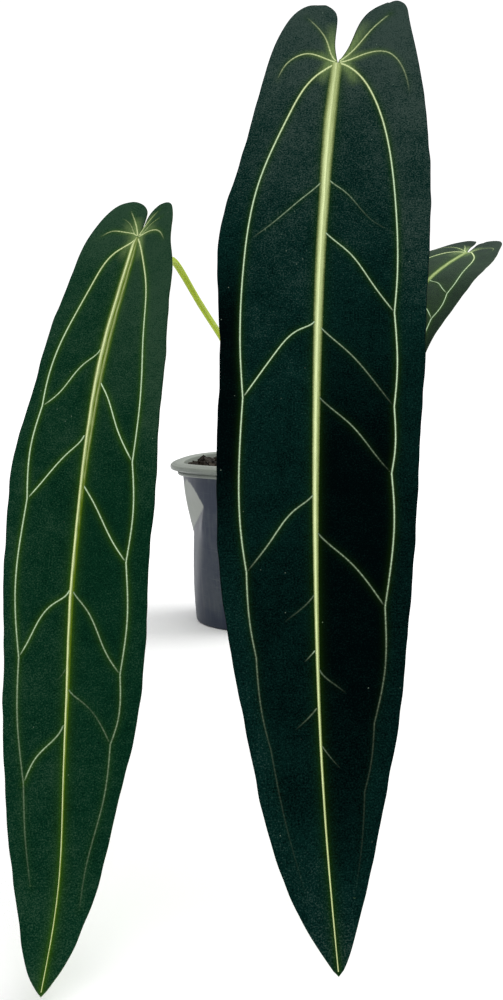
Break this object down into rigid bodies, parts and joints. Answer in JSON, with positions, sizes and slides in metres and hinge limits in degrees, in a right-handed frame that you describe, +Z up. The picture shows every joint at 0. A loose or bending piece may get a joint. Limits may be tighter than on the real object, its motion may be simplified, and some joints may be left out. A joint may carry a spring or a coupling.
{
  "type": "queen anthurium in a nursery pot",
  "caption": "Potted aroid with long, hanging, velvety heart-shaped leaves with pale veins on arching stalks, rooted in bark mix in a dented grey plastic nursery pot.",
  "frame": {"origin": "centre of the pot's underside, on the plane that the pot stands on", "axes": "+Z up; the leaves reach forward along -Y, and +X is to the right seen from the front"},
  "size_m": [0.2682, 0.6534, 0.3823],
  "materials": {
    "grey_plastic": "satin",
    "bark_mix": "matt",
    "crown_tissue": "matt",
    "velvet_green": "velvety",
    "stalk_green": "satin"
  },
  "bodies": {
    "root": {"pot": "grey_plastic", "soil": "bark_mix", "stem": "crown_tissue", "leaf_front_blade": "velvet_green", "leaf_left_blade": "velvet_green", "leaf_right_blade": "velvet_green", "leaf_front_petiole": "stalk_green", "leaf_left_petiole": "stalk_green", "leaf_right_petiole": "stalk_green"}
  },
  "joints": []
}
